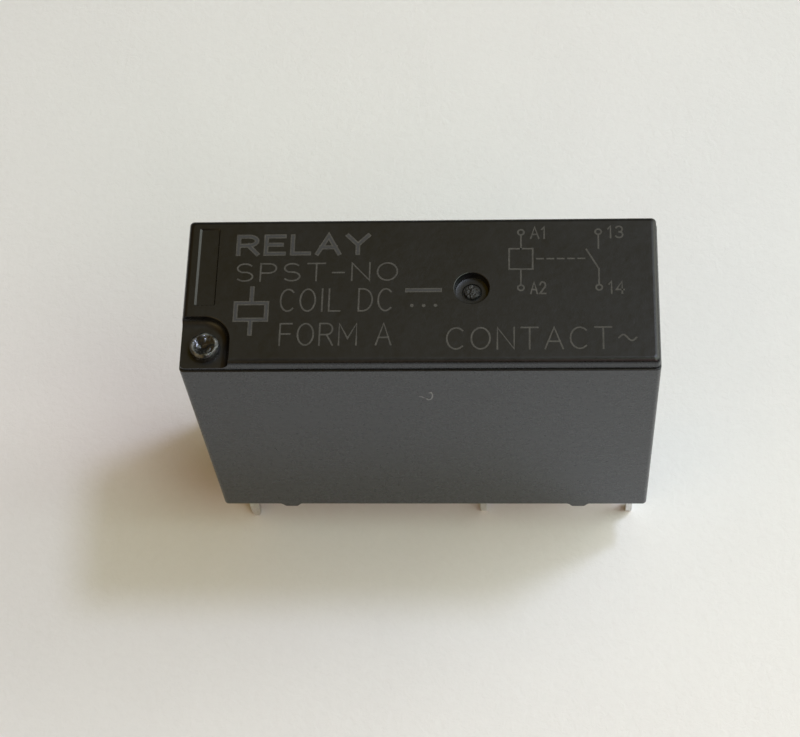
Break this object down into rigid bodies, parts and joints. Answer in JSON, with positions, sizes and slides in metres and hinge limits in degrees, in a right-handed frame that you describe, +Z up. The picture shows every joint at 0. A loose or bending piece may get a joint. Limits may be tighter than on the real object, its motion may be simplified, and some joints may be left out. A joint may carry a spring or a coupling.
{
  "type": "slim PCB power relay",
  "caption": "Slim sealed circuit-board relay: a tall black moulded case on flat solder pins, with a coil, armature, push card and one normally open contact inside.",
  "frame": {"origin": "under the middle of the case, at the level of the pin tips", "axes": "+X along the case from the coil pins to the contact pins, +Y towards the rear long side, +Z up to the marked roof"},
  "size_m": [0.0204, 0.0072, 0.0183],
  "materials": {
    "case_plastic": "satin black moulding with a fine spark-eroded grain",
    "base_plastic": "black glass-filled moulding",
    "sealing_resin": "cured dark epoxy",
    "bobbin_plastic": "natural moulded thermoplastic",
    "magnet_wire": "enamelled copper wire",
    "coil_tape": "amber polyester tape",
    "tinned_terminal": "tin-plated copper alloy, satin",
    "solder": "bright solder",
    "plated_iron": "nickel-plated soft iron",
    "spring_bronze": "rolled phosphor bronze",
    "card_plastic": "natural liquid-crystal polymer",
    "contact_silver": "silver alloy contact"
  },
  "bodies": {
    "root": {"cover": "case_plastic", "base": "base_plastic", "sealant": "sealing_resin", "bobbin": "bobbin_plastic", "coil_winding": "magnet_wire", "coil_tape": "coil_tape", "coil_lead_start": "magnet_wire", "coil_lead_end": "magnet_wire", "coil_terminal_front": "tinned_terminal", "coil_terminal_rear": "tinned_terminal", "solder_joints": "solder", "core": "plated_iron", "yoke": "plated_iron", "hinge_spring": "spring_bronze", "hinge_spring_rivets": "spring_bronze", "common_terminal": "tinned_terminal", "spring_rivets": "contact_silver", "fixed_terminal": "tinned_terminal", "fixed_contact": "contact_silver"},
    "armature": {"armature": "plated_iron"},
    "card": {"actuator_card": "card_plastic"},
    "contact_arm": {"contact_spring": "spring_bronze", "moving_contact": "contact_silver"}
  },
  "joints": [
    {"name": "armature_hinge", "type": "hinge", "parent": "root", "child": "armature", "pos_m": [-0.0086, 0, 0.01535], "axis": [0, 1, 0], "range_deg": [0, 3.6], "stiffness_Nm_per_rad": 0.002, "springref_deg": -11.46},
    {"name": "card_slide", "type": "slide", "parent": "root", "child": "card", "axis": [0, 0, -1], "range_m": [0, 0.000723]},
    {"name": "contact_arm_bend", "type": "hinge", "parent": "root", "child": "contact_arm", "pos_m": [0.00895, 0, 0.0117], "axis": [0, -1, 0], "range_deg": [0, 6.9]}
  ],
  "couplings": [
    {"joint": "card_slide", "follows": "armature_hinge", "m_per_rad": 0.0115},
    {"joint": "contact_arm_bend", "follows": "armature_hinge", "ratio": 1.9}
  ]
}
